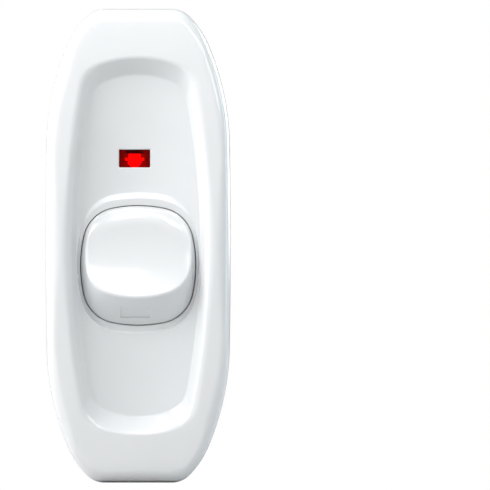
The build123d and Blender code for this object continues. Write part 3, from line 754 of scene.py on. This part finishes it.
def cast_zinc():
    f = Finish("tumbled_zinc", 0.42, 1.0)
    f.colour(f.noise(2.2, 5.0), (0.40, 0.41, 0.42), (0.55, 0.56, 0.57))
    f.roughness(f.noise(0.8, 6.0), 0.34, 0.56)
    return f.bump(f.noise(0.35, 4.0), 0.012).mat


def worked_steel(name, dark, light, low, high, stretch, line_mm=0.35, depth_mm=0.003):
    """Metal with tool marks that run one way."""
    f = Finish(name, 0.3, 1.0, Anisotropic=0.35)
    f.colour(f.noise(4.0, 4.0), dark, light)
    f.roughness(f.noise(line_mm, 5.0, stretch), low, high)
    return f.bump(f.noise(line_mm, 4.0, stretch), depth_mm).mat


def solder_mask():
    """Green mask with faint copper tracks under it."""
    f = Finish("solder_mask", 0.3, Coat_Weight=0.4)
    tracks = f.cells(1.9, "DISTANCE_TO_EDGE")
    f.colour(tracks, (0.012, 0.10, 0.045), (0.018, 0.155, 0.07), 0.02, 0.12)
    f.roughness(f.noise(1.2, 4.0), 0.22, 0.36)
    f.bump(f.ramp(tracks, 1.0, 0.0, 0.02, 0.12), 0.02)
    return f.bump(f.noise(0.15, 2.0), 0.003).mat


def clear_red():
    """Dark red clear acrylic in front of the lamp."""
    f = Finish("clear_red", 0.04, Transmission_Weight=1.0, IOR=1.49)
    f.colour(f.noise(3.0, 2.0), (0.55, 0.004, 0.004), (0.62, 0.006, 0.005))
    return f.bump(f.noise(0.9, 2.0), 0.0008).mat


def lit_epoxy():
    f = Finish("lit_epoxy", 0.25, Emission_Strength=LAMP_GLOW)
    f.shader.inputs["Emission Color"].default_value = (1.0, 0.02, 0.01, 1)
    f.colour(f.noise(0.8, 3.0), (0.75, 0.012, 0.01), (0.95, 0.03, 0.02))
    f.roughness(f.noise(0.5, 3.0), 0.18, 0.34)
    return f.bump(f.noise(0.3, 2.0), 0.004).mat


STEEL = ((0.46, 0.47, 0.48), (0.62, 0.62, 0.63))
FINISHES = {
    "white_plastic": gloss_white(),
    "plate_plastic": matt_moulding("moulded_grey", (0.46, 0.47, 0.48), (0.52, 0.53, 0.54), 0.48),
    "foam": closed_foam(),
    "zinc": cast_zinc(),
    "steel": worked_steel("stamped_steel", *STEEL, 0.22, 0.42, (1, 1, 0.08)),
    "spring_steel": worked_steel("drawn_wire", (0.30, 0.30, 0.32), (0.46, 0.46, 0.48),
                                 0.2, 0.4, (1, 1, 1), 0.2),
    "chrome_steel": worked_steel("nickel_plate", (0.66, 0.65, 0.63), (0.74, 0.73, 0.71),
                                 0.08, 0.2, (1, 1, 0.1), 0.5, 0.001),
    "switch_plastic": matt_moulding("black_thermoset", (0.018, 0.018, 0.02), (0.034, 0.034, 0.037), 0.42),
    "red_plastic": matt_moulding("red_moulding", (0.42, 0.016, 0.014), (0.52, 0.026, 0.022),
                                 0.32, 0.2, 0.006),
    "brass": worked_steel("turned_brass", (0.66, 0.48, 0.20), (0.80, 0.61, 0.30),
                          0.16, 0.34, (1, 0.08, 1), 0.3),
    "tinned": worked_steel("tinned_copper", (0.64, 0.64, 0.62), (0.76, 0.76, 0.74),
                           0.18, 0.36, (1, 1, 1), 0.4),
    "wire_sheath": matt_moulding("soft_sheath", (0.46, 0.02, 0.016), (0.56, 0.032, 0.026), 0.5, 0.3, 0.01),
    "board": solder_mask(),
    "chip_plastic": matt_moulding("chip_package", (0.014, 0.014, 0.015), (0.026, 0.026, 0.028), 0.55, 0.08),
    "hood_plastic": matt_moulding("dark_hood", (0.34, 0.012, 0.010), (0.42, 0.018, 0.014), 0.5),
    "led_red": lit_epoxy(),
    "lens_red": clear_red(),
    "cell_steel": worked_steel("nickelled_can", (0.58, 0.58, 0.57), (0.70, 0.70, 0.69),
                               0.2, 0.38, (1, 1, 1), 0.6),
}
for node in nodes.values():
    for slot in node.material_slots:
        slot.material = FINISHES[slot.material.name.split(".")[0]]
for piece in (cover, button):
    piece.data.materials.append(FINISHES["white_plastic"])


# ---------------------------------------------------------------- camera, stage and light

def look_from(obj, polar, turn, distance, aim=(0, 0, 0)):
    """Places an object off the front view's axis, by an angle and the way it leans: 0 right, 90 up."""
    p, t = math.radians(polar), math.radians(turn)
    way = Vector((math.sin(p) * math.cos(t), -math.cos(p), math.sin(p) * math.sin(t)))
    obj.location = Vector(aim) + way * distance
    obj.rotation_euler = (-way).to_track_quat("-Z", "Y").to_euler()


cam_data = bpy.data.cameras.new("camera")
cam_data.type = "ORTHO"
cam_data.ortho_scale = VIEW_WIDTH
camera = bpy.data.objects.new("camera", cam_data)
bpy.context.scene.collection.objects.link(camera)
camera.location = (VIEW_RIGHT, -0.6, VIEW_UP)
camera.rotation_euler = (math.pi / 2, 0, 0)
bpy.context.scene.camera = camera

# Soft boxes on a sphere round the unit: angle off the front view, way it leans, width, height in
# metres, brightness and colour. Their power comes from their area and one of two brightnesses.
SOFT = 4.4                                  # watts per square metre and steradian
BRIGHT = 7.7
WHITE = (1, 1, 1)
ICE = (0.66, 0.90, 1.0)
BOX_DISTANCE = 0.5
BOXES = [
    ("crest_panel", 50, 90, 0.24, 0.08, SOFT, WHITE),
    ("button_left", 40, 100, 0.12, 0.10, BRIGHT, WHITE),
    ("button_right", 40, 60, 0.10, 0.12, BRIGHT, WHITE),
    ("key", 55, 145, 0.20, 0.20, BRIGHT, WHITE),
    ("fill", 55, 35, 0.18, 0.18, SOFT, WHITE),
    ("side_strip", 90, 0, 0.06, 0.50, BRIGHT, ICE),
]
BOXES += [(f"arc_{turn}", 80, turn, 0.26, 0.26, SOFT, WHITE) for turn in (100, 140, 180)]
BOXES += [(f"back_{turn}", 125, turn, 0.30, 0.30, SOFT, WHITE) for turn in (20, 160)]
for name, polar, turn, width, height, brightness, colour in BOXES:
    data = bpy.data.lights.new(name, "AREA")
    data.shape = "RECTANGLE"
    data.size, data.size_y = width, height
    data.energy = brightness * math.pi * width * height
    data.color = colour
    light = bpy.data.objects.new(name, data)
    bpy.context.scene.collection.objects.link(light)
    look_from(light, polar, turn, BOX_DISTANCE)

world = bpy.data.worlds.new("world")
world.use_nodes = True
tree = world.node_tree
light_sky = tree.nodes["Background"]
light_sky.inputs["Color"].default_value = (1, 1, 1, 1)
light_sky.inputs["Strength"].default_value = SKY
seen_sky = tree.nodes.new("ShaderNodeBackground")
seen_sky.inputs["Color"].default_value = (1, 1, 1, 1)
path = tree.nodes.new("ShaderNodeLightPath")
mix = tree.nodes.new("ShaderNodeMixShader")
tree.links.new(path.outputs["Is Camera Ray"], mix.inputs[0])
tree.links.new(light_sky.outputs[0], mix.inputs[1])
tree.links.new(seen_sky.outputs[0], mix.inputs[2])
tree.links.new(mix.outputs[0], tree.nodes["World Output"].inputs["Surface"])
bpy.context.scene.world = world
bpy.context.scene.view_settings.view_transform = "Standard"

lo, hi = cad_bounds
bpy.ops.mesh.primitive_plane_add(size=3, location=(0, 0, lo[2]))
floor = bpy.context.object
floor.name = "floor"
ground = Finish("pale_floor", 0.6)
ground.colour(ground.noise(60.0, 3.0), (0.49, 0.49, 0.49), (0.51, 0.51, 0.51))
floor.data.materials.append(ground.mat)
